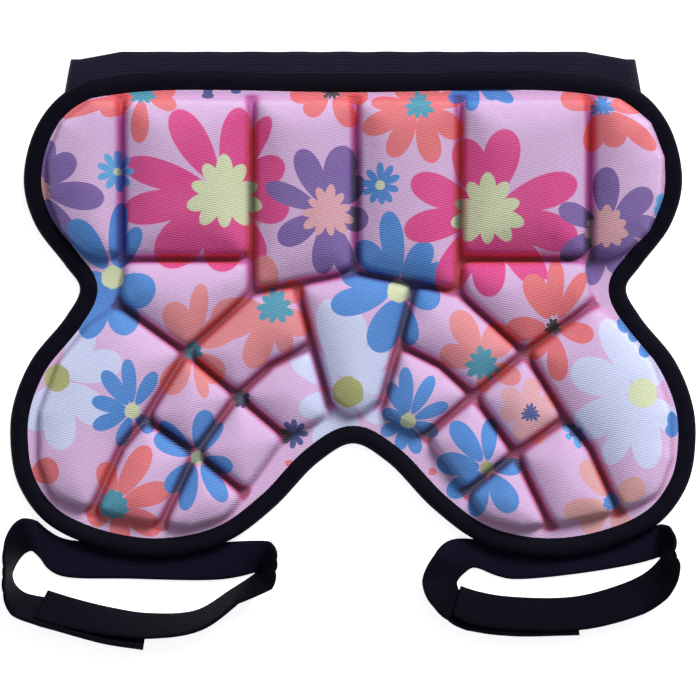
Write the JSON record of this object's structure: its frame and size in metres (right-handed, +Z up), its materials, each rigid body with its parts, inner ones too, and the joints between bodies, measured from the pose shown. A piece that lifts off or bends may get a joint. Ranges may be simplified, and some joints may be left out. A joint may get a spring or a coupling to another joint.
{
  "type": "tailbone protector",
  "caption": "Butterfly-shaped padded seat guard of raised foam blocks with a bound edge, an elastic waistband loop and a strap loop for each thigh, lying flat with its blocks up.",
  "frame": {"origin": "middle of the panel, on the flat back that lies on the ground", "axes": "+X to the viewer's right across the panel, +Y towards the waistband, +Z up out of the blocks"},
  "size_m": [0.3702, 0.319, 0.0267],
  "materials": {
    "printed_cover": "ribbed knit with a flower print over foam",
    "backing": "plain black mesh knit over foam",
    "binding": "black woven tape folded over the edge and stitched",
    "elastic": "dark navy ribbed elastic",
    "webbing": "dark navy elastic webbing with hook-and-loop ends"
  },
  "bodies": {
    "root": {"block_side_left": "printed_cover", "block_side_right": "printed_cover", "block_tall_left": "printed_cover", "block_tall_right": "printed_cover", "block_centre_left": "printed_cover", "block_centre_right": "printed_cover", "block_hip_left": "printed_cover", "block_hip_right": "printed_cover", "block_arch_left": "printed_cover", "block_arch_right": "printed_cover", "block_inner_left": "printed_cover", "block_inner_right": "printed_cover", "block_middle_left": "printed_cover", "block_middle_right": "printed_cover", "block_crotch_left": "printed_cover", "block_crotch_right": "printed_cover", "block_foot_left": "printed_cover", "block_foot_right": "printed_cover", "block_tip_left": "printed_cover", "block_tip_right": "printed_cover", "block_lobe_left": "printed_cover", "block_lobe_right": "printed_cover", "block_wedge": "printed_cover", "panel_backing": "backing", "edge_binding": "binding", "waistband": "elastic", "leg_strap_left": "webbing", "leg_strap_right": "webbing"}
  },
  "joints": []
}
